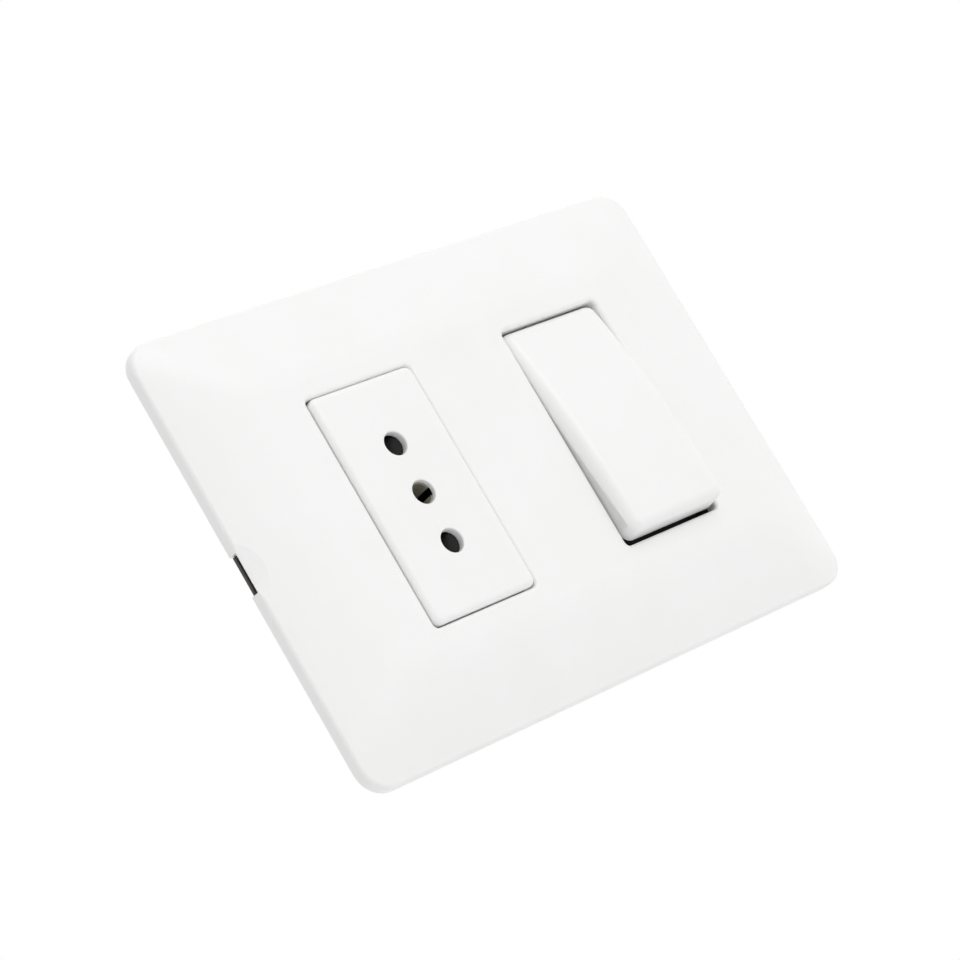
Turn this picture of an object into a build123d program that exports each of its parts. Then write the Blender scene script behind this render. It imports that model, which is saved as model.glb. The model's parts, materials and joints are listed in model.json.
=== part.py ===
from build123d import *

import math
import os

# A wall switch and socket: a pillow-shaped cover plate, a three-position mounting frame, an in-line
# three-pin socket module on the left and a rocker switch module on the right.
# Millimetres. X to the right, Z up, the front faces -Y. The wall plane is Y = 0.

# How far a cut runs past the face that it opens
over = 1.0

# Cover plate
plate_corner = 5.0
plate_wall = 2.0
rim_height = 2.4
rim_edge = 0.8
field_height = 7.3
field_corner = 3.0
field_crease = 16.0
border_side = 16.0
border_end = 15.0
field_side = 8.15
field_end = 4.2
border_bulge = 0.5
border_steps = 4
window_gap = 0.2
window_corner = 1.0
window_edge = 0.8
collar_depth = 1.0
collar_wall = 1.0

# Pry notch in the left rim, with a scooped relief over it and the frame's tongue in it
notch_length = 7.4
notch_height = 2.0
notch_place = -0.4
scoop_half_width = 5.2
scoop_reach = 3.2
tongue_thickness = 0.7
tongue_gap = 0.15
tongue_inset = 0.5

# Snap legs of the cover plate
leg_margin = 3.4
leg_z = 20.0
leg_width = 6.0
leg_thickness = 1.4
leg_hook = 0.7
leg_hook_height = 0.8
leg_gap = 0.3

# Mounting frame and its screws
frame_thickness = 2.4
frame_margin_side = 9.0
frame_margin_end = 8.0
frame_corner = 4.0
lip_thickness = 1.2
lip_height = 1.5
divider_width = 0.5
ledge_depth = 1.2
box_screw_place = 6.9
box_screw_radius = 1.75
box_screw_neck = 1.45
box_screw_neck_length = 2.7
box_screw_length = 20.0
box_screw_head = 3.5
box_screw_head_height = 1.9
box_screw_head_edge = 0.6
box_screw_point = 0.6
box_screw_slot = 1.0
box_slot_radius = 1.95
box_slot_length = 7.4

# Module bases
module_gap = 0.7
hollow_height = 6.8
body_depth = 16.0
body_corner = 0.8
body_wall = 1.6
ear_length = 2.0
ear_thickness = 1.5
tab_width = 6.0
tab_height = 0.8
tab_length = 1.0
seat_gap = 0.2
snap_gap = 0.1

# Pillar terminals
pillar_width = 5.0
pillar_height = 5.6
pillar_length = 10.0
pillar_from_sleeve = 1.1
pillar_edge = 0.5
pocket_gap = 0.3
rear_wall = 2.0
wire_radius = 1.6
wire_entry_radius = 1.8
clamp_screw_radius = 1.5
clamp_screw_fit = 0.05
clamp_screw_head = 2.2
clamp_screw_head_height = 1.4
clamp_screw_slot = 0.6
clamp_screw_tip = 0.4
clamp_screw_cover = 0.8

# Socket cover
cover_lap = 0.45
cover_setback = 0.85
cover_corner = 1.5
cover_edge = 1.1
cover_wall = 1.2
cover_front_wall = 1.5
socket_proud = 0.7
pin_spacing = 9.5
pin_hole_radius = 2.2
pin_hole_edge = 0.3
earth_rim = 1.0
earth_mouth_gap = 0.2
cover_leg_width = 7.0
cover_leg_thickness = 1.0
cover_leg_wall = 4.9
cover_hook = 0.4
cover_hook_height = 0.9

# Socket contacts
sleeve_inner = 2.04
sleeve_wall = 0.56
sleeve_slit = 0.7
earth_slit = 1.4
earth_slit_length = 8.0
sleeve_end = 11.0
live_sleeve_length = 10.8
well_gap = 0.3
tail_thickness = 0.6
tail_height = 4.4
tail_front = 4.5
tail_length = 4.0

# Safety shutter
shutter_gap = 0.1
shutter_travel = 5.0
shutter_overlap = 0.4
ramp_height = 5.3
ramp_width = 5.4
ramp_toe = 0.3
rail_gap = 0.5
rail_thickness = 1.8
stop_gap = 0.35
bay_gap = 0.3
bay_floor_gap = 0.4
lane_place = 4.7
lane_width = 2.2
lane_depth = 2.2
finger_gap = 0.2
finger_thickness = 1.0
shutter_spring_wire = 0.15
shutter_spring_radius = 0.75
shutter_spring_turns = 8

# Rocker
rocker_end_gap = 0.85
rocker_corner = 2.0
rocker_edge = 1.6
rocker_wall = 1.3
rocker_front_wall = 1.8
rocker_skirt = 5.0
rocker_proud = 1.95
rocker_tilt = 6.3
pivot_height = 4.1
pivot_radius = 1.5
pivot_fit = 0.05
pivot_length = 1.2
lug_radius = 2.3
cheek_thickness = 1.1
cheek_radius = 2.2
cheek_gap = 0.25
barrel_radius = 3.3
barrel_length = 7.65
rib_thickness = 1.0
rib_depth = 2.2

# Plunger
plunger_radius = 2.0
plunger_fit = 0.06
plunger_length = 3.4
plunger_out = 0.8
tip_radius = 1.2
tip_gap = 0.03
plunger_spring_wire = 0.2
plunger_spring_radius = 1.6
plunger_spring_turns = 5

# Switch contacts
switch_face = 1.5
end_wall = 1.2
chamber_width = 18.0
chamber_floor = 10.2
blade_width = 4.6
blade_length = 20.4
blade_end_gap = 2.2
blade_thickness = 1.0
blade_lift = 0.1
blade_tilt = 8.0
fulcrum_depth = 4.9
fulcrum_radius = 0.45
fulcrum_fit = 0.05
fulcrum_ear = 0.8
fulcrum_ear_height = 1.7
fulcrum_ear_width = 3.2
copper = 0.8
tail_rise = 5.0
rivet_radius = 1.5
rivet_height = 0.7
rivet_edge = 0.25
rivet_stem = 0.8
rivet_inset = 1.2
rivet_gap = 0.1

# The modules, from their contacts outwards
sleeve_outer = sleeve_inner + sleeve_wall
pillar_face = sleeve_outer + pillar_from_sleeve
pillar_offset = pillar_face + pillar_width / 2
pocket_left = pillar_face - pocket_gap
pocket_right = pillar_offset + pillar_width / 2 + pocket_gap
pocket_half = pillar_height / 2 + pocket_gap
screw_outside = pocket_right + clamp_screw_head_height
body_width = 2 * (screw_outside + clamp_screw_cover)
body_height = 2 * (pin_spacing + pocket_half + 2 * body_wall + hollow_height)
module_pitch = body_width + module_gap
ear_height = body_height + 2 * ear_length
cover_width = body_width + 2 * cover_lap
cover_height = body_height - 2 * cover_setback
window_width = cover_width + 2 * window_gap
window_height = cover_height + 2 * window_gap
rocker_width = window_width - 2 * window_gap
rocker_length = window_height - 2 * rocker_end_gap

# The frame and the plate, round the modules
frame_window_width = 3 * module_pitch + 2 * seat_gap
frame_window_height = body_height + 2 * seat_gap
plate_width = frame_window_width + 2 * (field_side + border_side)
plate_height = frame_window_height + 2 * (field_end + border_end)
frame_width = plate_width - 2 * frame_margin_side
frame_height = plate_height - 2 * frame_margin_end
leg_x = frame_width / 2 - leg_margin
box_screw_spacing = frame_window_width + 2 * box_screw_place

# Depths and places that follow from the sizes above
frame_front = -frame_thickness
ear_front = frame_front - ear_thickness
field_front = -field_height
ceiling = field_front + plate_wall
socket_x = -module_pitch
switch_x = module_pitch
socket_front = field_front - socket_proud
cover_back = socket_front + cover_front_wall
pillar_back = body_depth - rear_wall
pillar_front = pillar_back - pillar_length
screw_depth = pillar_front + pillar_length / 2
pin_places = {"live": pin_spacing, "earth": 0.0, "neutral": -pin_spacing}

# Shutter, front to back and left to right from the socket's middle
shutter_front = cover_back + shutter_gap
shutter_foot = shutter_front + ramp_height
ramp_left = -pin_hole_radius - shutter_overlap
ramp_right = -ramp_left
rail_left = sleeve_outer + rail_gap
rail_right = cover_width / 2 - cover_wall - shutter_travel - stop_gap
finger_right = ramp_left + finger_thickness
lane_end = screw_outside
lane_middle = ear_front + lane_depth / 2

# Rocker before it is tipped, and what it throws
pivot_depth = -pivot_height
rocker_front = field_front - rocker_proud
rocker_underside = rocker_front + rocker_front_wall
rocker_rear = rocker_front + rocker_skirt
rocker_inside = rocker_width / 2 - rocker_wall
barrel_end = rocker_underside + barrel_length
blade_back = fulcrum_depth - blade_lift
blade_face = blade_back - blade_thickness
tip_centre = blade_face - tip_radius - tip_gap
rivet_place = blade_length / 2 - rivet_inset
chamber_height = blade_length + 2 * blade_end_gap
terminal_z = chamber_height / 2 + pillar_height / 2

# The thrown blade's rivet comes lowest at its outer edge, and the fixed rivet waits for it there
throw = math.radians(blade_tilt)
fixed_face = (
    fulcrum_depth
    + (rivet_height - blade_lift) * math.cos(throw)
    + (rivet_place + rivet_radius) * math.sin(throw)
    + rivet_gap
)
tongue_front = fixed_face + rivet_height


def block(x0, x1, y0, y1, z0, z1):
    """A box between two corners."""
    middle = ((x0 + x1) / 2, (y0 + y1) / 2, (z0 + z1) / 2)
    return Pos(*middle) * Box(x1 - x0, y1 - y0, z1 - z0)


def rod_y(radius, x, z, y0, y1):
    """A round bar along Y."""
    return Pos(x, (y0 + y1) / 2, z) * Rot(90, 0, 0) * Cylinder(radius, y1 - y0)


def rod_x(radius, y, z, x0, x1):
    """A round bar along X."""
    return Pos((x0 + x1) / 2, y, z) * Rot(0, 90, 0) * Cylinder(radius, x1 - x0)


def facing(y, x=0.0):
    """A sketch plane at a depth, facing the room."""
    return Plane(origin=(x, y, 0), x_dir=(1, 0, 0), z_dir=(0, -1, 0))


def slab(width, height, corner, y0, y1, x=0.0):
    """A rounded rectangle from depth y0 back to depth y1."""
    return extrude(facing(y1, x) * RectangleRounded(width, height, corner), amount=y1 - y0)


def prism_x(points, x0, x1):
    """A straight bar along X whose section is a list of (y, z) points."""
    section = Plane.YZ.offset(x0) * make_face(Polyline(*points, close=True))
    return extrude(section, amount=x1 - x0)


def prism_z(points, z0, z1):
    """A straight bar along Z whose section is a list of (x, y) points."""
    section = Plane.XY.offset(z0) * make_face(Polyline(*points, close=True))
    return extrude(section, amount=z1 - z0, dir=(0, 0, 1))


def edges_at(part, y):
    """The edges that lie wholly at one depth."""
    found = []
    for edge in part.edges():
        box = edge.bounding_box()
        if abs(box.min.Y - y) < 1e-3 and abs(box.max.Y - y) < 1e-3:
            found.append(edge)
    return found


def tipped(part, degrees, y):
    """A part turned about a line along X at a depth."""
    return Pos(0, y, 0) * Rot(degrees, 0, 0) * Pos(0, -y, 0) * part


def coil(radius, wire, length, turns):
    """A compression spring that stands on the XY plane along Z."""
    rise = length - 2 * wire
    path = Helix(rise / turns, rise, radius)
    ring = Plane(origin=path @ 0, z_dir=path % 0) * Circle(wire)
    return Pos(0, 0, wire) * sweep(ring, path=path, is_frenet=True)


def pillow(width, height, corner, rim, field, side, end):
    """The plate's solid form: an upright rim, then a border that rises in a flat curve to the field."""
    sections = []
    for step in range(border_steps + 1):
        share = step / border_steps
        rise = rim + (field - rim) * share + border_bulge * 4 * share * (1 - share)
        turn = corner + (field_corner - corner) * share
        outline = RectangleRounded(width - 2 * side * share, height - 2 * end * share, turn)
        sections.append(facing(-rise) * outline)
    return loft(sections) + slab(width, height, corner, -rim, 0)


def snap_leg(side, z):
    """A leg under the plate, with a hook that catches behind the frame's ledge."""
    catch = snap_gap - ledge_depth
    inner = leg_x - leg_thickness / 2
    outer = leg_x + leg_thickness / 2
    foot = catch + leg_hook_height
    profile = [
        (inner, ceiling),
        (outer, ceiling),
        (outer, catch),
        (outer + leg_hook, catch),
        (outer, foot),
        (inner, foot),
    ]
    return prism_z([(side * x, y) for x, y in profile], z - leg_width / 2, z + leg_width / 2)


def scoop(left):
    """A ball that touches the notch's top edge and cuts an arc into the slope above it."""
    drop = rim_height - notch_height
    slope = (field_height - rim_height + 4 * border_bulge) / border_side
    chord = (scoop_half_width**2 + drop**2) / (2 * drop)
    above = chord - drop
    rest = chord**2 - above**2 - scoop_reach**2 * (1 + slope**2)
    out = rest / (2 * scoop_reach) + slope * above
    return Pos(left - out, -rim_height - above, notch_place) * Sphere(math.hypot(out, chord))


def make_cover_plate():
    plate = pillow(
        plate_width, plate_height, plate_corner, rim_height, field_height, border_side, border_end
    )
    plate = fillet(edges_at(plate, field_front), field_crease)
    plate = fillet(edges_at(plate, -rim_height), rim_edge)
    plate -= pillow(
        plate_width - 2 * plate_wall,
        plate_height - 2 * plate_wall,
        plate_corner - plate_wall / 2,
        rim_height - plate_wall / 2,
        field_height - plate_wall,
        border_side - plate_wall,
        border_end - plate_wall,
    )
    collar_width = window_width + 2 * collar_wall
    collar_height = window_height + 2 * collar_wall
    for x in (socket_x, switch_x):
        collar_end = ceiling + collar_depth
        plate += slab(collar_width, collar_height, window_corner + collar_wall, ceiling, collar_end, x)
    for x in (socket_x, switch_x):
        plate -= slab(window_width, window_height, window_corner, field_front - over, 0, x)
        mouth = [e for e in edges_at(plate, field_front) if abs(e.center().X - x) <= window_width / 2]
        mouth = [e for e in mouth if abs(e.center().Z) <= window_height / 2]
        plate = fillet(mouth, window_edge)
    left = -plate_width / 2
    low = notch_place - notch_length / 2
    high = notch_place + notch_length / 2
    plate -= block(left - over, left + 2 * plate_wall, -notch_height, over, low, high)
    plate -= scoop(left)
    for side in (-1, 1):
        for z in (-leg_z, leg_z):
            plate += snap_leg(side, z)
    return plate


def make_mounting_frame():
    frame = slab(frame_width, frame_height, frame_corner, frame_front, 0)
    lip_width = frame_window_width + 2 * lip_thickness
    lip_inside = ear_height + 2 * seat_gap
    lip_front = frame_front - lip_height
    frame += slab(lip_width, lip_inside + 2 * lip_thickness, frame_corner / 2, lip_front, frame_front)
    frame -= slab(frame_window_width, lip_inside, body_corner, lip_front, frame_front)
    half_window = frame_window_height / 2
    for x in (-module_pitch / 2, module_pitch / 2):
        left = x - divider_width / 2
        frame += block(left, left + divider_width, lip_front, frame_front, -lip_inside / 2, lip_inside / 2)
    frame -= slab(frame_window_width, frame_window_height, body_corner, lip_front - over, over)
    rebate = half_window + tab_height + snap_gap
    half_width = frame_window_width / 2
    frame -= block(-half_width, half_width, -ledge_depth, over, -rebate, rebate)
    for side in (-1, 1):
        slot = SlotOverall(box_slot_length, 2 * box_slot_radius)
        slot = facing(over, side * box_screw_spacing / 2) * slot
        frame -= extrude(slot, amount=frame_thickness + 2 * over)
        for z in (-leg_z, leg_z):
            inner = leg_x - leg_thickness / 2 - leg_gap
            outer = leg_x + leg_thickness / 2 + leg_gap
            low = z - leg_width / 2 - leg_gap
            high = z + leg_width / 2 + leg_gap
            frame -= block(*sorted((side * inner, side * outer)), frame_front - over, over, low, high)
            catch = outer + leg_hook
            frame -= block(*sorted((side * inner, side * catch)), -ledge_depth, over, low, high)
    tip = -plate_width / 2 + tongue_inset
    low = notch_place - notch_length / 2 + tongue_gap
    high = notch_place + notch_length / 2 - tongue_gap
    return frame + block(tip, -frame_width / 2 + frame_corner, -tongue_thickness, 0, low, high)


def make_box_screw(x):
    head = rod_y(box_screw_head, x, 0, frame_front - box_screw_head_height, frame_front)
    front = frame_front - box_screw_head_height
    head = fillet(edges_at(head, front), box_screw_head_edge)
    half_slot = box_screw_slot / 2
    reach = box_screw_head + over
    head -= block(x - reach, x + reach, front - over, front + box_screw_slot, -half_slot, half_slot)
    thread_start = frame_front + box_screw_neck_length
    end = frame_front + box_screw_length
    neck = rod_y(box_screw_neck, x, 0, frame_front, thread_start)
    shank = rod_y(box_screw_radius, x, 0, thread_start, end)
    shank = chamfer(edges_at(shank, end), box_screw_point)
    return head + neck + shank


def module_base(x):
    """The block that both modules share: rounded edges, ears in front, snap tabs behind the frame."""
    base = slab(body_width, body_height, body_corner, ear_front, body_depth, x)
    base += slab(body_width, ear_height, body_corner, ear_front, frame_front, x)
    catch = snap_gap - ledge_depth
    half = body_height / 2
    for side in (-1, 1):
        wedge = [
            (catch, side * (half - body_wall)),
            (catch, side * (half + tab_height)),
            (catch + tab_length, side * half),
            (catch + tab_length, side * (half - body_wall)),
        ]
        base += prism_x(wedge, x - tab_width / 2, x + tab_width / 2)
    return base


def terminal_pocket(x, z, front):
    """Room for a pillar, open to the front, with its wire entry behind and screw hole at the side."""
    room = block(x + pocket_left, x + pocket_right, front, pillar_back, z - pocket_half, z + pocket_half)
    room += rod_y(wire_entry_radius, x + pillar_offset, z, pillar_back, body_depth)
    side = x + body_width / 2
    room += rod_x(clamp_screw_head + pocket_gap, screw_depth, z, x + pocket_right, side)
    return room


def make_pillar(x, z):
    middle = x + pillar_offset
    half = pillar_width / 2
    half_height = pillar_height / 2
    pillar = block(
        middle - half, middle + half, pillar_front, pillar_back, z - half_height, z + half_height
    )
    pillar = chamfer(pillar.edges().filter_by(Axis.Y), pillar_edge)
    pillar -= rod_y(wire_radius, middle, z, pillar_front, pillar_back)
    pillar -= rod_x(clamp_screw_radius + clamp_screw_fit, screw_depth, z, middle, middle + half)
    return pillar


def make_clamp_screw(x, z):
    seat = x + pocket_right
    tip = x + pillar_offset + clamp_screw_tip
    outside = x + screw_outside
    screw = rod_x(clamp_screw_radius, screw_depth, z, tip, seat)
    screw += rod_x(clamp_screw_head, screw_depth, z, seat, outside)
    half = clamp_screw_slot / 2
    reach = clamp_screw_head + over
    floor = outside - clamp_screw_slot
    screw -= block(floor, outside, screw_depth - reach, screw_depth + reach, z - half, z + half)
    return screw


def make_socket_cover():
    cover = slab(cover_width, cover_height, cover_corner, socket_front, ear_front, socket_x)
    cover = fillet(edges_at(cover, socket_front), cover_edge)
    inside = cover_corner - cover_wall / 2
    room_width = cover_width - 2 * cover_wall
    room_height = cover_height - 2 * cover_wall
    cover -= slab(room_width, room_height, inside, cover_back, ear_front, socket_x)
    for z in pin_places.values():
        cover -= rod_y(pin_hole_radius, socket_x, z, socket_front, cover_back)
    cover -= rod_y(sleeve_outer + well_gap, socket_x, 0, socket_front + earth_rim, cover_back)
    circles = [e for e in edges_at(cover, socket_front) if e.geom_type == GeomType.CIRCLE]
    cover = fillet([e for e in circles if abs(e.arc_center.X - socket_x) < 1e-3], pin_hole_edge)
    half = cover_leg_width / 2
    outer = room_height / 2
    inner = outer - cover_leg_thickness
    shelf = cover_leg_wall + ear_front
    for side in (-1, 1):
        leg = [
            (cover_back, side * inner),
            (cover_back, side * outer),
            (shelf + snap_gap, side * outer),
            (shelf + snap_gap, side * (outer + cover_hook)),
            (shelf + snap_gap + cover_hook_height, side * outer),
            (shelf + snap_gap + cover_hook_height, side * inner),
        ]
        cover += prism_x(leg, socket_x - half, socket_x + half)
    return cover


def make_socket_body():
    body = module_base(socket_x)
    well = sleeve_outer + well_gap
    tail_room = tail_height / 2 + well_gap
    for name, z in pin_places.items():
        body -= rod_y(well, socket_x, z, ear_front, sleeve_end)
        body -= terminal_pocket(socket_x, z, ear_front)
        tail_end = tail_front + tail_length
        left = socket_x + pocket_left
        body -= block(socket_x, left + pocket_gap, ear_front, tail_end, z - tail_room, z + tail_room)
        if name != "earth":
            half = ramp_width / 2 + bay_gap
            floor = shutter_foot + bay_floor_gap
            bay_left = socket_x + ramp_left - bay_gap
            body -= block(bay_left, socket_x + pocket_right, ear_front, floor, z - half, z + half)
    half = lane_width / 2
    lane_left = socket_x + ramp_left - bay_gap
    lane_floor = ear_front + lane_depth
    lane_stop = socket_x + lane_end
    body -= block(lane_left, lane_stop, ear_front, lane_floor, lane_place - half, lane_place + half)
    half_width = body_width / 2 - body_wall
    inner = pin_spacing + pocket_half + body_wall
    outer = body_height / 2 - body_wall
    shelf = ear_front + cover_leg_wall
    leg_outer = cover_height / 2 - cover_wall
    leg_inner = leg_outer - cover_leg_thickness
    leg_half = cover_leg_width / 2 + snap_gap
    for side in (-1, 1):
        low, high = sorted((side * inner, side * outer))
        body -= block(socket_x - half_width, socket_x + half_width, shelf, body_depth, low, high)
        low, high = sorted((side * (leg_inner - snap_gap), side * (leg_outer + snap_gap)))
        body -= block(socket_x - leg_half, socket_x + leg_half, ear_front, shelf, low, high)
    return body


def make_socket_contact(name):
    """A slit sleeve for the pin, with a tail that lies against its pillar.

    The earth sleeve reaches further out, where a second slit parts it into two leaves.
    """
    z = pin_places[name]
    mouth = sleeve_end - live_sleeve_length
    if name == "earth":
        mouth = socket_front + earth_rim + earth_mouth_gap
    sleeve = rod_y(sleeve_outer, socket_x, z, mouth, sleeve_end)
    tail_end = tail_front + tail_length
    pad_left = socket_x + pillar_face - tail_thickness
    half = tail_thickness / 2
    sleeve += block(socket_x + sleeve_inner, pad_left, tail_front, tail_end, z - half, z + half)
    sleeve -= rod_y(sleeve_inner, socket_x, z, mouth, sleeve_end)
    half_slit = sleeve_slit / 2
    left = socket_x - sleeve_outer - over
    sleeve -= block(left, socket_x, mouth, sleeve_end, z - half_slit, z + half_slit)
    if name == "earth":
        right = socket_x + sleeve_outer + over
        slit_end = mouth + earth_slit_length
        sleeve -= block(socket_x, right, mouth, slit_end, -earth_slit / 2, earth_slit / 2)
    half_pad = tail_height / 2
    pad_right = socket_x + pillar_face
    return sleeve + block(pad_left, pad_right, tail_front, tail_end, z - half_pad, z + half_pad)


def make_shutter():
    """Two ramps under the outer holes, joined by a rail, with a finger that the spring pushes."""
    ramp = [
        (ramp_left, shutter_foot),
        (ramp_left, shutter_foot - ramp_toe),
        (ramp_right, shutter_front),
        (rail_right, shutter_front),
        (rail_right, shutter_front + rail_thickness),
        (ramp_right + ramp_toe, shutter_front + rail_thickness),
        (ramp_right + ramp_toe, shutter_foot),
    ]
    ramp = [(socket_x + x, y) for x, y in ramp]
    half = ramp_width / 2
    shutter = prism_z(ramp, pin_spacing - half, pin_spacing + half)
    shutter += prism_z(ramp, -pin_spacing - half, -pin_spacing + half)
    rail_end = pin_spacing + half
    back = shutter_front + rail_thickness
    left = socket_x + rail_left
    shutter += block(left, socket_x + rail_right, shutter_front, back, -rail_end, rail_end)
    low = lane_place - lane_width / 2 + finger_gap
    high = lane_place + lane_width / 2 - finger_gap
    arm_left = socket_x + ramp_left
    shutter += block(arm_left, left, shutter_front, back, low, high)
    tip = ear_front + lane_depth - finger_gap
    shutter += block(arm_left, socket_x + finger_right, shutter_front, tip, low, high)
    return shutter


def make_shutter_spring():
    start = socket_x + finger_right
    length = socket_x + lane_end - start
    spring = coil(shutter_spring_radius, shutter_spring_wire, length, shutter_spring_turns)
    return Pos(start, lane_middle, lane_place) * Rot(0, 90, 0) * spring


def make_rocker():
    """The rocker in its middle place, then tipped so that its top end is pressed in."""
    rocker = slab(rocker_width, rocker_length, rocker_corner, rocker_front, rocker_rear)
    rocker = fillet(edges_at(rocker, rocker_front), rocker_edge)
    inside_length = rocker_length - 2 * rocker_wall
    inside_corner = rocker_corner - rocker_wall / 2
    rocker -= slab(2 * rocker_inside, inside_length, inside_corner, rocker_underside, rocker_rear)
    rocker += rod_y(barrel_radius, 0, 0, rocker_underside, barrel_end)
    half_rib = rib_thickness / 2
    rib_end = rocker_underside + rib_depth
    half_length = inside_length / 2
    rocker += block(-half_rib, half_rib, rocker_underside, rib_end, -half_length, half_length)
    rocker -= rod_y(plunger_radius + plunger_fit, 0, 0, rocker_underside, barrel_end)
    for side in (-1, 1):
        outside = side * rocker_width / 2
        inside = side * rocker_inside
        rocker += rod_x(lug_radius, pivot_depth, 0, *sorted((inside, outside)))
        rocker += rod_x(pivot_radius, pivot_depth, 0, *sorted((inside, inside - side * pivot_length)))
    return Pos(switch_x, 0, 0) * tipped(rocker, -rocker_tilt, pivot_depth)


def make_plunger():
    shoulder = barrel_end + plunger_out
    stem = rod_y(plunger_radius, 0, 0, shoulder - plunger_length, shoulder)
    stem = chamfer(edges_at(stem, shoulder), (plunger_radius - tip_radius) / 2)
    stem += rod_y(tip_radius, 0, 0, shoulder, tip_centre)
    stem += Pos(0, tip_centre, 0) * Sphere(tip_radius)
    return Pos(switch_x, 0, 0) * tipped(stem, -rocker_tilt, pivot_depth)


def make_plunger_spring():
    seat = barrel_end + plunger_out - plunger_length
    length = seat - rocker_underside
    spring = coil(plunger_spring_radius, plunger_spring_wire, length, plunger_spring_turns)
    spring = Pos(0, rocker_underside, 0) * Rot(-90, 0, 0) * spring
    return Pos(switch_x, 0, 0) * tipped(spring, -rocker_tilt, pivot_depth)


def make_switch_body():
    body = module_base(switch_x)
    face = -switch_face
    inside = body_height / 2 - end_wall
    half_width = body_width / 2
    body -= block(switch_x - half_width, switch_x + half_width, ear_front, face, -inside, inside)
    half_chamber = chamber_width / 2
    half_height = chamber_height / 2
    body -= block(
        switch_x - half_chamber, switch_x + half_chamber, face, chamber_floor, -half_height, half_height
    )
    body -= terminal_pocket(switch_x, terminal_z, face)
    body -= terminal_pocket(switch_x, -terminal_z, face)
    outer = rocker_inside - cheek_gap
    for side in (-1, 1):
        ends = sorted((switch_x + side * outer, switch_x + side * (outer - cheek_thickness)))
        body += block(*ends, pivot_depth, face, -cheek_radius, cheek_radius)
        body += rod_x(cheek_radius, pivot_depth, 0, *ends)
        body -= rod_x(pivot_radius + pivot_fit, pivot_depth, 0, *ends)
    hollow = half_width - body_wall
    inner = half_height + body_wall
    outer = body_height / 2 - body_wall
    for side in (-1, 1):
        low, high = sorted((side * inner, side * outer))
        right = switch_x + pocket_left - body_wall
        body -= block(switch_x - hollow, right, face + body_wall, body_depth, low, high)
    rear = half_height - body_wall
    floor = chamber_floor + body_wall
    body -= block(switch_x - half_chamber, switch_x + half_chamber, floor, body_depth, -rear, rear)
    return body


def blade_tipped(part):
    """A seesaw piece turned about the fulcrum to where the tipped rocker has thrown it."""
    return Pos(switch_x, 0, 0) * tipped(part, blade_tilt, fulcrum_depth)


def make_rocking_contact():
    half = blade_width / 2
    reach = blade_length / 2
    blade = block(-half, half, blade_face, blade_back, -reach, reach)
    blade -= rod_x(fulcrum_radius + fulcrum_fit, fulcrum_depth, 0, -half, half)
    blade -= rod_y(rivet_stem, 0, rivet_place, blade_face, blade_back)
    return blade_tipped(blade)


def make_moving_rivet():
    rivet = rod_y(rivet_radius, 0, rivet_place, blade_back, blade_back + rivet_height)
    rivet = fillet(edges_at(rivet, blade_back + rivet_height), rivet_edge)
    rivet += rod_y(rivet_stem, 0, rivet_place, blade_face, blade_back)
    return blade_tipped(rivet)


def contact_tail(side):
    """The upright end of a strip, against the pillar's inner face."""
    left = pillar_face
    right = pillar_offset + pillar_width / 2
    low, high = sorted((side * (chamber_height / 2 - copper), side * chamber_height / 2))
    return block(left, right, tail_rise, chamber_floor, low, high)


def make_common_strip():
    """A floor strip with the knife edge that the blade rocks on, and two ears beside the blade."""
    half = blade_width / 2 + seat_gap
    half_ear = fulcrum_ear_width / 2
    floor = chamber_floor - copper
    end = chamber_height / 2
    reach = half + fulcrum_ear
    knife = block(-half, half, fulcrum_depth, floor, -fulcrum_radius, fulcrum_radius)
    knife += rod_x(fulcrum_radius, fulcrum_depth, 0, -half, half)
    knife += block(-reach, reach, floor, chamber_floor, -end, half_ear)
    knife += block(0, pillar_offset + pillar_width / 2, floor, chamber_floor, -end, -end + 2 * half_ear)
    for side in (-1, 1):
        ear = sorted((side * half, side * reach))
        knife += block(*ear, fulcrum_depth - fulcrum_ear_height, floor, -half_ear, half_ear)
    return Pos(switch_x, 0, 0) * (knife + contact_tail(-1))


def make_switched_strip():
    """An upright tail with a tongue that carries the fixed rivet."""
    right = pillar_offset + pillar_width / 2
    end = chamber_height / 2
    tongue_back = tongue_front + copper
    left = -rivet_radius - copper
    near = rivet_place - rivet_radius - copper
    tongue = block(left, right, tongue_front, tongue_back, near, end)
    tongue -= rod_y(rivet_stem, 0, rivet_place, tongue_front, tongue_back)
    return Pos(switch_x, 0, 0) * (tongue + contact_tail(1))


def make_fixed_rivet():
    rivet = rod_y(rivet_radius, 0, rivet_place, fixed_face, tongue_front)
    rivet = fillet(edges_at(rivet, fixed_face), rivet_edge)
    rivet += rod_y(rivet_stem, 0, rivet_place, tongue_front, tongue_front + copper)
    return Pos(switch_x, 0, 0) * rivet


pieces = {
    "cover_plate": make_cover_plate(),
    "mounting_frame": make_mounting_frame(),
    "box_screw_left": make_box_screw(-box_screw_spacing / 2),
    "box_screw_right": make_box_screw(box_screw_spacing / 2),
    "socket_cover": make_socket_cover(),
    "socket_body": make_socket_body(),
    "shutter": make_shutter(),
    "shutter_spring": make_shutter_spring(),
    "rocker": make_rocker(),
    "plunger": make_plunger(),
    "plunger_spring": make_plunger_spring(),
    "switch_body": make_switch_body(),
    "rocking_contact": make_rocking_contact(),
    "moving_contact_rivet": make_moving_rivet(),
    "fixed_contact_rivet": make_fixed_rivet(),
    "common_strip": make_common_strip(),
    "switched_strip": make_switched_strip(),
}
for pole, height in pin_places.items():
    pieces[f"{pole}_contact"] = make_socket_contact(pole)
    pieces[f"{pole}_terminal"] = make_pillar(socket_x, height)
    pieces[f"{pole}_screw"] = make_clamp_screw(socket_x, height)
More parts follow.
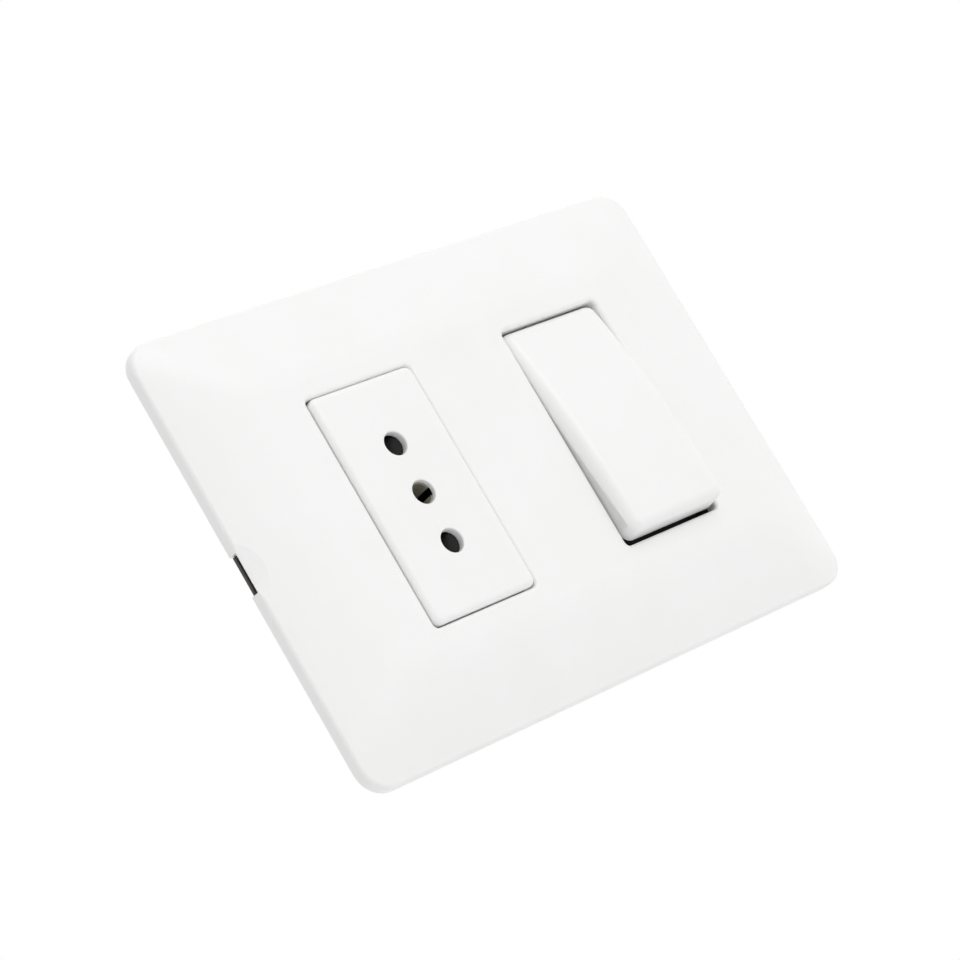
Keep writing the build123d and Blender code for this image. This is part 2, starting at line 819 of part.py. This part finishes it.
for pole, height in {"switched": terminal_z, "common": -terminal_z}.items():
    pieces[f"{pole}_terminal"] = make_pillar(switch_x, height)
    pieces[f"{pole}_screw"] = make_clamp_screw(switch_x, height)

os.makedirs("parts", exist_ok=True)
for name, piece in pieces.items():
    export_step(piece, f"parts/{name}.step")
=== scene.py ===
import json
import math

import bmesh
import bpy
from mathutils import Matrix, Vector


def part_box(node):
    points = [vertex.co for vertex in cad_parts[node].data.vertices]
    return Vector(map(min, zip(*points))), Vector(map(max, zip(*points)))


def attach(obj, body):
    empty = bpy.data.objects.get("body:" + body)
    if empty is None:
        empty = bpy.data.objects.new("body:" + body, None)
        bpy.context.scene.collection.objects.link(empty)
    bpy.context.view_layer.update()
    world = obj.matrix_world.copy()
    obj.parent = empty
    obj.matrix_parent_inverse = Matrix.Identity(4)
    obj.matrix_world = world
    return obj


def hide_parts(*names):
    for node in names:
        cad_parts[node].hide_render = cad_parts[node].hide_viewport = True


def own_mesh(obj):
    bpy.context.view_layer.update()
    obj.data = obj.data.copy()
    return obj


# A wall switch and socket, upright as it hangs: a white pillow-shaped cover plate with a three-pin
# socket on the left and a rocker switch on the right. Metres. The front faces -Y.

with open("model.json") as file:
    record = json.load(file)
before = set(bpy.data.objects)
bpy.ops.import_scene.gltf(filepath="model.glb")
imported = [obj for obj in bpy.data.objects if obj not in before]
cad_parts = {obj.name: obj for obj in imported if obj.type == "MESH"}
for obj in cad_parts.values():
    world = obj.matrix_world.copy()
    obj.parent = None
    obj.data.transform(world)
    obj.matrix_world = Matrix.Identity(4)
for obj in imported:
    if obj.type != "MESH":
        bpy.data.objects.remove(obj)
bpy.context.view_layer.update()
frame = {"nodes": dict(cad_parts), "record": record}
nodes = frame["nodes"]

# Camera: where the photograph was taken from, and which way it was held
CAMERA_PLACE = (-0.36445, -0.40783, -0.09928)
CAMERA_RIGHT = (0.70634, -0.50232, -0.49875)
CAMERA_UP = (0.27726, -0.45196, 0.84786)
CAMERA_LENS = 120.68
CAMERA_SENSOR = 36.0
CAMERA_CLIP = 0.01

# Light levels, as shares of a white surface that faces the light
SKY_LEVEL = 0.28
SKY_LEFT = 0.24
SKY_RIGHT = 0.27
SKY_ABOVE = 0.64
SKY_SEEN = 1.0
KEY_LEVEL = 0.30
KEY_TOWARDS = (0.17, -0.84, 0.51)
KEY_DISTANCE = 1.2
KEY_SIZE = 0.9
LIGHT_COLOUR = (1.0, 1.0, 1.0, 1.0)

# The floor far below
FLOOR_HEIGHT = -0.22
FLOOR_SIZE = 6.0
FLOOR_COLOUR = (0.93, 0.93, 0.93, 1.0)
FLOOR_ROUGHNESS = 0.9

# Plastic: clouds of flow in the colour, and a spark-eroded grain in the gloss and the relief
CLOUD_SCALE = 60.0
CLOUD_DETAIL = 3.0
CLOUD_ENDS = (0.3, 0.7)
FINE_GRAIN = 0.0002
COARSE_GRAIN = 0.0003
GRAIN_DETAIL = 2.0
GRAIN_RELIEF = 0.05
GRAIN_SWING = 0.05
WHITE = (0.920, 0.922, 0.914)
WHITE_MOTTLE = 0.012
WHITE_DEPTH = 0.0008
SCATTER_WEIGHT = 0.3
SCATTER_RADIUS = (1.0, 1.0, 1.0)
PLAIN_SHINE = 0.5

# Metal: fine marks, eight times as close along Y as across it, with a slight tarnish in them
MARKS_SCALE = 900.0
MARKS_DETAIL = 4.0
MARKS_STRETCH = (1.0, 8.0, 1.0)
MARKS_ENDS = (0.35, 0.65)
MARKS_TARNISH = 0.8
MARKS_RELIEF = 0.00002
MARKS_SWING = 0.08

# The rocker in its middle place, with its centre line at X = 0
ROCKER_PLACE = 0.0231
ROCKER_PIVOT = -0.0041
ROCKER_TILT = math.radians(-6.3)
ROCKER_WIDTH = 0.0233
ROCKER_LENGTH = 0.0427
ROCKER_SKIRT = 0.005
ROCKER_LAP = 0.00001
ROCKER_CORNER = 0.002
ROCKER_FRONT = -0.00925
ROCKER_WALL = 0.0013
ROCKER_ROOM = 0.0198
ROCKER_EDGE = 0.00195
ROCKER_CROWN = 0.001
CORNER_STEPS = 8
SIDE_STEPS = 40
EDGE_STEPS = 10

# The thread of the box screws; its flanks rise by the slope from a flat root
THREAD_LENGTH = 0.0173
THREAD_PITCH = 0.0006
THREAD_ROOT = 0.00145
THREAD_CREST = 0.00175
THREAD_POINT = 0.0006
THREAD_SLOPE = 2.4
THREAD_FLAT = 0.1
THREAD_STEPS = 40
THREAD_ROWS = 10

# The axes of the two springs' joints
SHUTTER_AXIS = (1.0, 0.0, 0.0)
PLUNGER_AXIS = (0.0, -0.993961, 0.109734)

SHARP_ANGLE = math.radians(35)
TINY = 0.00001


def link_object(name, data):
    """An object in the scene for a mesh, a lamp or a camera."""
    thing = bpy.data.objects.new(name, data)
    bpy.context.scene.collection.objects.link(thing)
    return thing


def add_node(tree, kind, values=(), links=()):
    """A shader node, with plain values on some of its inputs and earlier outputs on others."""
    node = tree.nodes.new(kind)
    for key, value in dict(values).items():
        node.inputs[key].default_value = value
    for key, output in dict(links).items():
        tree.links.new(output, node.inputs[key])
    return node


def add_maths(tree, operation, *terms):
    """The result of one operation on earlier outputs and plain numbers."""
    plain = {k: term for k, term in enumerate(terms) if isinstance(term, float)}
    linked = {k: term for k, term in enumerate(terms) if not isinstance(term, float)}
    node = add_node(tree, "ShaderNodeMath", plain, linked)
    node.operation = operation
    return node.outputs[0]


def add_camera():
    """The camera, placed and turned as the photograph's was."""
    data = bpy.data.cameras.new("camera")
    data.sensor_width = CAMERA_SENSOR
    data.lens = CAMERA_LENS
    data.clip_start = CAMERA_CLIP
    camera = link_object("camera", data)
    right = Vector(CAMERA_RIGHT).normalized()
    back = right.cross(Vector(CAMERA_UP)).normalized()
    up = back.cross(right)
    turn = Matrix((right, up, back)).transposed().to_4x4()
    camera.matrix_world = Matrix.Translation(CAMERA_PLACE) @ turn
    bpy.context.scene.camera = camera


def add_world():
    """Light from all round, uneven by side, and white background where it is seen or mirrored."""
    world = bpy.data.worlds.new("studio")
    bpy.context.scene.world = world
    world.use_nodes = True
    tree = world.node_tree
    tree.nodes.clear()
    place = add_node(tree, "ShaderNodeTexCoord").outputs["Generated"]
    split = add_node(tree, "ShaderNodeSeparateXYZ", links={0: place})
    leftward = add_maths(tree, "MULTIPLY", split.outputs["X"], -1.0)
    leftward = add_maths(tree, "MAXIMUM", leftward, 0.0)
    rightward = add_maths(tree, "MAXIMUM", split.outputs["X"], 0.0)
    upward = add_maths(tree, "MAXIMUM", split.outputs["Z"], 0.0)
    level = add_maths(tree, "MULTIPLY_ADD", leftward, SKY_LEFT, SKY_LEVEL)
    for part, share in ((rightward, SKY_RIGHT), (upward, SKY_ABOVE)):
        level = add_maths(tree, "ADD", level, add_maths(tree, "MULTIPLY", part, share))
    values = {"Color": LIGHT_COLOUR}
    light = add_node(tree, "ShaderNodeBackground", values, {"Strength": level})
    values = {"Color": LIGHT_COLOUR, "Strength": SKY_SEEN}
    seen = add_node(tree, "ShaderNodeBackground", values)
    path = add_node(tree, "ShaderNodeLightPath").outputs
    either = add_maths(tree, "MAXIMUM", path["Is Camera Ray"], path["Is Glossy Ray"])
    either = add_maths(tree, "MAXIMUM", either, path["Is Transmission Ray"])
    links = {"Fac": either, 1: light.outputs[0], 2: seen.outputs[0]}
    mix = add_node(tree, "ShaderNodeMixShader", links=links)
    add_node(tree, "ShaderNodeOutputWorld", links={"Surface": mix.outputs[0]})


def add_key_lamp():
    """A large soft lamp in front, above and a little to the right, of the power for its level."""
    data = bpy.data.lights.new("key", "AREA")
    data.shape = "SQUARE"
    data.size = KEY_SIZE
    data.energy = KEY_LEVEL * math.pi**2 * KEY_DISTANCE**2
    lamp = link_object("key", data)
    towards = Vector(KEY_TOWARDS).normalized()
    lamp.location = towards * KEY_DISTANCE
    lamp.rotation_euler = towards.to_track_quat("Z", "Y").to_euler()


def add_floor():
    """A plain pale floor, which is no part of the object."""
    half = FLOOR_SIZE / 2
    corners = [(-half, -half), (half, -half), (half, half), (-half, half)]
    mesh = bpy.data.meshes.new("floor")
    mesh.from_pydata([(x, y, FLOOR_HEIGHT) for x, y in corners], [], [(0, 1, 2, 3)])
    floor = link_object("floor", mesh)
    material = bpy.data.materials.new("floor_pale")
    material.use_nodes = True
    shader = material.node_tree.nodes["Principled BSDF"]
    shader.inputs["Base Color"].default_value = FLOOR_COLOUR
    shader.inputs["Roughness"].default_value = FLOOR_ROUGHNESS
    mesh.materials.append(material)


def start_material(name):
    """A new material, its node tree, its shader, and places on the object itself."""
    material = bpy.data.materials.new(name)
    material.use_nodes = True
    tree = material.node_tree
    place = add_node(tree, "ShaderNodeTexCoord").outputs["Object"]
    return material, tree, tree.nodes["Principled BSDF"], place


def add_noise(tree, place, scale, detail):
    """A noise pattern of a scale and a detail."""
    values = {"Scale": scale, "Detail": detail}
    return add_node(tree, "ShaderNodeTexNoise", values, {"Vector": place}).outputs["Fac"]


def drive_colour(tree, shader, noise, ends, colours):
    """Runs the colour from one to the other with a noise."""
    ramp = add_node(tree, "ShaderNodeValToRGB", links={"Fac": noise})
    for element, end, colour in zip(ramp.color_ramp.elements, ends, colours):
        element.position = end
        element.color = (*colour, 1.0)
    tree.links.new(ramp.outputs["Color"], shader.inputs["Base Color"])


def drive_surface(tree, shader, noise, roughness, swing, strength, relief):
    """Varies the roughness with a noise, and raises the surface with it."""
    values = {"To Min": roughness - swing, "To Max": roughness + swing}
    spread = add_node(tree, "ShaderNodeMapRange", values, {"Value": noise})
    tree.links.new(spread.outputs["Result"], shader.inputs["Roughness"])
    values = {"Strength": strength, "Distance": relief}
    bump = add_node(tree, "ShaderNodeBump", values, {"Height": noise})
    tree.links.new(bump.outputs["Normal"], shader.inputs["Normal"])


def plastic(name, colour, roughness, grain, size, mottle, depth=0.0, shine=PLAIN_SHINE):
    """Moulded plastic: a hint of flow, a fine grain, and light that gets in as far as depth."""
    material, tree, shader, place = start_material(name)
    low = [max(0.0, c * (1.0 - mottle)) for c in colour]
    high = [min(1.0, c * (1.0 + mottle)) for c in colour]
    cloud = add_noise(tree, place, CLOUD_SCALE, CLOUD_DETAIL)
    drive_colour(tree, shader, cloud, CLOUD_ENDS, (low, high))
    fine = add_noise(tree, place, 1.0 / size, GRAIN_DETAIL)
    drive_surface(tree, shader, fine, roughness, GRAIN_SWING, grain, size * GRAIN_RELIEF)
    shader.inputs["Specular IOR Level"].default_value = shine
    if depth:
        shader.inputs["Subsurface Weight"].default_value = SCATTER_WEIGHT
        shader.inputs["Subsurface Radius"].default_value = SCATTER_RADIUS
        shader.inputs["Subsurface Scale"].default_value = depth
    return material


def metal(name, colour, roughness, streak):
    """Metal with fine marks, which vary its colour, its gloss and its relief."""
    material, tree, shader, place = start_material(name)
    shader.inputs["Metallic"].default_value = 1.0
    values = {"Scale": MARKS_STRETCH}
    squeeze = add_node(tree, "ShaderNodeMapping", values, {"Vector": place})
    marks = add_noise(tree, squeeze.outputs["Vector"], MARKS_SCALE, MARKS_DETAIL)
    tarnished = [c * MARKS_TARNISH for c in colour]
    drive_colour(tree, shader, marks, MARKS_ENDS, (tarnished, colour))
    drive_surface(tree, shader, marks, roughness, MARKS_SWING, streak, MARKS_RELIEF)
    return material


def make_materials():
    """The material of each slot, by the slot's name."""
    # Slot, colour, roughness, strength of the grain, size of the grain, mottle, depth, shine
    plastics = (
        ("plate_white", WHITE, 0.42, 0.10, FINE_GRAIN, WHITE_MOTTLE, WHITE_DEPTH),
        ("cover_white", WHITE, 0.40, 0.10, FINE_GRAIN, WHITE_MOTTLE, WHITE_DEPTH),
        ("rocker_white", WHITE, 0.38, 0.08, FINE_GRAIN, WHITE_MOTTLE, WHITE_DEPTH),
        ("frame_dark", (0.045, 0.038, 0.036), 0.55, 0.30, COARSE_GRAIN, 0.05),
        ("base_dark", (0.035, 0.035, 0.038), 0.5, 0.30, COARSE_GRAIN, 0.1),
        ("shutter_dark", (0.008, 0.007, 0.007), 0.25, 0.10, FINE_GRAIN, 0.1, 0.0, 0.3),
        ("plunger_natural", (0.80, 0.79, 0.74), 0.45, 0.10, FINE_GRAIN, 0.02),
    )
    # Slot, colour, roughness, strength of the marks
    metals = (
        ("spring_steel", (0.60, 0.60, 0.60), 0.28, 0.1),
        ("screw_steel", (0.70, 0.70, 0.66), 0.32, 0.15),
        ("contact_brass", (0.71, 0.58, 0.33), 0.3, 0.12),
        ("contact_nickel", (0.62, 0.60, 0.52), 0.70, 0.12),
        ("terminal_brass", (0.73, 0.60, 0.34), 0.3, 0.2),
        ("silver", (0.82, 0.82, 0.80), 0.3, 0.1),
    )
    made = {row[0]: plastic(*row) for row in plastics}
    made.update({row[0]: metal(*row) for row in metals})
    return made


def dress_nodes():
    """Gives each carried-over solid the material of its slot."""
    for part in frame["record"]["subparts"]:
        mesh = nodes[part["node"]].data
        mesh.materials.clear()
        mesh.materials.append(materials[part["material_slot"]])


def add_piece(name, mesh, slot, body, node, smooth):
    """Puts a mesh in the scene as a piece that stands for a solid of the frame."""
    piece = link_object(name, mesh)
    mesh.materials.clear()
    mesh.materials.append(materials[slot])
    if smooth:
        mesh.shade_smooth()
        mesh.set_sharp_from_angle(angle=SHARP_ANGLE)
        piece.modifiers.new("normals", "WEIGHTED_NORMAL").keep_sharp = True
    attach(piece, body)
    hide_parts(node)
    return piece


def end_piece(work, name, slot, body, node):
    """Turns the work on a new mesh into its piece."""
    mesh = bpy.data.meshes.new(name)
    work.to_mesh(mesh)
    work.free()
    add_piece(name, mesh, slot, body, node, smooth=True)


def add_spring(node, body, axis):
    """A spring as the frame's own coil, carried by its body; the axis is not used."""
    mesh = nodes[node].data.copy()
    axis = Vector(axis).normalized()
    piece = add_piece(f"{node}_coil", mesh, "spring_steel", body, node, smooth=False)
    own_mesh(piece)


def join_rings(work, rings):
    """Quads between closed rings of points that follow each other."""
    for near, far in zip(rings, rings[1:]):
        for k in range(len(near)):
            work.faces.new((near[k - 1], near[k], far[k], far[k - 1]))


def close_gap(work, depth, ring):
    """Joins the open edge of the frame's own mesh, at one depth, to a ring of the new points."""
    rim = [point for point in work.verts if abs(point.co.y - depth) < TINY / 2]
    bmesh.ops.remove_doubles(work, verts=rim, dist=TINY / 10)
    ring = set(ring)
    edges = []
    for edge in work.edges:
        at_depth = all(abs(point.co.y - depth) < TINY / 2 for point in edge.verts)
        if edge.is_boundary and (at_depth or ring.issuperset(edge.verts)):
            edges.append(edge)
    bmesh.ops.bridge_loops(work, edges=edges)
    bmesh.ops.recalc_face_normals(work, faces=work.faces[:])


def rocker_outline(inset):
    """Points round the rocker at a distance inside its outline, long sides in even steps."""
    half_width = ROCKER_WIDTH / 2 - ROCKER_CORNER
    half_length = ROCKER_LENGTH / 2 - ROCKER_CORNER
    radius = ROCKER_CORNER - inset
    points = []
    for start, x, z in ((0, 1, 1), (90, -1, 1), (180, -1, -1), (270, 1, -1)):
        for k in range(CORNER_STEPS + 1):
            angle = math.radians(start + 90 * k / CORNER_STEPS)
            across = x * half_width + radius * math.cos(angle)
            points.append((across, z * half_length + radius * math.sin(angle)))
        # The second and the fourth corner each end where a long side starts
        if x != z:
            across = x * (half_width + radius)
            for k in range(1, SIDE_STEPS):
                points.append((across, z * half_length * (1 - 2 * k / SIDE_STEPS)))
    return points


def open_rocker_front(work, cut):
    """Takes the rocker's own front edge and face off, and leaves the room inside as it is."""
    every = work.verts[:] + work.edges[:] + work.faces[:]
    bmesh.ops.bisect_plane(work, geom=every, plane_co=(0, cut, 0), plane_no=(0, 1, 0))
    gone = []
    for face in work.faces:
        middle = face.calc_center_median()
        inner = abs(middle.x) < ROCKER_WIDTH / 2 - ROCKER_WALL + TINY
        inner = inner and abs(middle.z) < ROCKER_ROOM + TINY
        inner = inner and middle.y > ROCKER_FRONT + ROCKER_WALL
        if middle.y < cut and not inner:
            gone.append(face)
    bmesh.ops.delete(work, geom=gone, context="FACES")


def add_rocker():
    """The rocker with a soft edge and a slightly crowned face; the rest is the frame's own."""
    turn = Matrix.Rotation(ROCKER_TILT, 4, "X")
    pivot = Matrix.Translation((ROCKER_PLACE, ROCKER_PIVOT, 0.0))
    level = Matrix.Translation((0.0, ROCKER_PIVOT, 0.0)) @ turn.inverted() @ pivot.inverted()
    work = bmesh.new()
    work.from_mesh(nodes["rocker"].data)
    work.transform(level)
    cut = ROCKER_FRONT + ROCKER_EDGE
    open_rocker_front(work, cut)

    # A skirt round the walls, then the rounded edge
    rear = ROCKER_FRONT + ROCKER_SKIRT
    rings = [[work.verts.new((x, rear, z)) for x, z in rocker_outline(-ROCKER_LAP)]]
    half_length = ROCKER_LENGTH / 2 - ROCKER_EDGE
    for k in range(EDGE_STEPS + 1):
        angle = math.pi / 2 * k / EDGE_STEPS
        ring = []
        for x, z in rocker_outline(ROCKER_EDGE * (1 - math.cos(angle)) - ROCKER_LAP):
            crown = ROCKER_CROWN * max(0.0, 1 - (z / half_length) ** 2)
            depth = ROCKER_FRONT + ROCKER_EDGE * (1 - math.sin(angle)) - crown
            ring.append(work.verts.new((x, depth, z)))
        rings.append(ring)
    join_rings(work, rings)

    # The face, in strips from the left long side with its corners to the right one
    last = rings[-1]
    corner = CORNER_STEPS + 1
    side = SIDE_STEPS - 1
    left = last[corner : 3 * corner + side]
    right = (last[-(side + corner) :] + last[:corner])[::-1]
    for k in range(len(left) - 1):
        work.faces.new((left[k], left[k + 1], right[k + 1], right[k]))
    close_gap(work, cut, rings[0])
    work.transform(level.inverted())
    end_piece(work, "rocker_crowned", "rocker_white", "rocker", "rocker")


def add_threaded_screw(node):
    """A box screw with its thread cut; head, slot and neck are the frame's own."""
    low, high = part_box(node)
    place = (low[0] + high[0]) / 2
    start = high[1] - THREAD_LENGTH
    work = bmesh.new()
    work.from_mesh(nodes[node].data)
    gone = [face for face in work.faces if face.calc_center_median().y > start + TINY]
    bmesh.ops.delete(work, geom=gone, context="FACES")
    rings = []
    rows = round(THREAD_LENGTH / THREAD_PITCH * THREAD_ROWS)
    for row in range(1, rows + 1):
        along = THREAD_LENGTH * row / rows
        fade = min(1.0, along / THREAD_PITCH)
        point = THREAD_CREST - THREAD_POINT + THREAD_LENGTH - along
        ring = []
        for k in range(THREAD_STEPS):
            phase = (along / THREAD_PITCH - k / THREAD_STEPS) % 1.0
            crest = THREAD_SLOPE * abs(phase - 0.5) - THREAD_FLAT
            crest = min(1.0, max(0.0, crest)) * fade
            radius = THREAD_ROOT + (THREAD_CREST - THREAD_ROOT) * crest
            radius = min(radius, point)
            angle = 2 * math.pi * k / THREAD_STEPS
            x, z = place + radius * math.cos(angle), radius * math.sin(angle)
            ring.append(work.verts.new((x, start + along, z)))
        rings.append(ring)
    join_rings(work, rings)
    work.faces.new(rings[-1])
    close_gap(work, start, rings[0])
    end_piece(work, f"{node}_threaded", "screw_steel", "base", node)


materials = make_materials()
add_camera()
add_world()
add_key_lamp()
add_floor()
dress_nodes()
add_rocker()
add_threaded_screw("box_screw_left")
add_threaded_screw("box_screw_right")
add_spring("shutter_spring", "base", SHUTTER_AXIS)
add_spring("plunger_spring", "rocker", PLUNGER_AXIS)

bpy.context.scene.view_settings.view_transform = "Standard"
